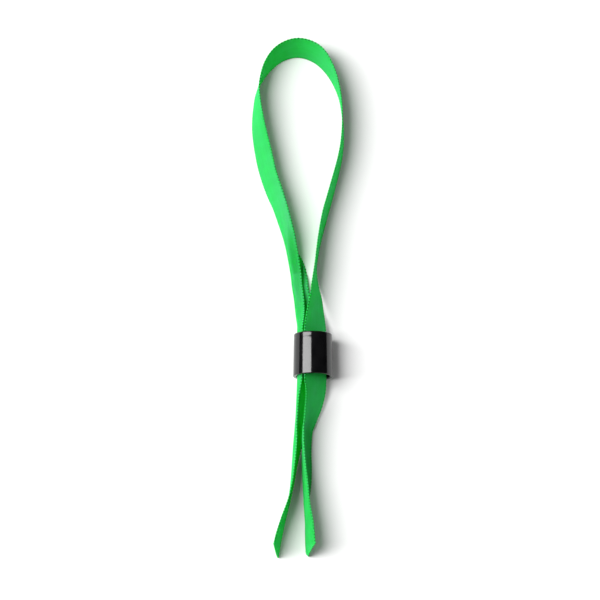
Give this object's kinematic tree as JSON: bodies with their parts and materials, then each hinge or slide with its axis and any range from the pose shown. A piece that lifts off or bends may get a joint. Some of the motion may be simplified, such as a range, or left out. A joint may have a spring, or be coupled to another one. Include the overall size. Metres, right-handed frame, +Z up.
{
  "type": "ribbon wristband",
  "caption": "Satin ribbon wristband: a doubled ribbon forms the wrist loop and passes through a sliding black barrel closure into two free tails.",
  "frame": {"origin": "middle of the wristband's outline on the surface that it lies on", "axes": "+Y along the wristband from the tails to the loop, +Z up off the surface, +X to the right"},
  "size_m": [0.0307, 0.1737, 0.013],
  "materials": {
    "ribbon": "green polyester satin",
    "barrel": "glossy black moulded plastic",
    "clip": "spring steel"
  },
  "bodies": {
    "ribbon": {"ribbon_loop": "ribbon", "ribbon_tail_left": "ribbon", "ribbon_tail_right": "ribbon"},
    "slider": {"barrel": "barrel", "lock_clip": "clip"}
  },
  "joints": [
    {"name": "slider_slide", "type": "slide", "parent": "ribbon", "child": "slider", "axis": [0, 1, 0], "range_m": [0, 0.032], "deforming": ["ribbon_loop", "ribbon_tail_left", "ribbon_tail_right"]}
  ]
}
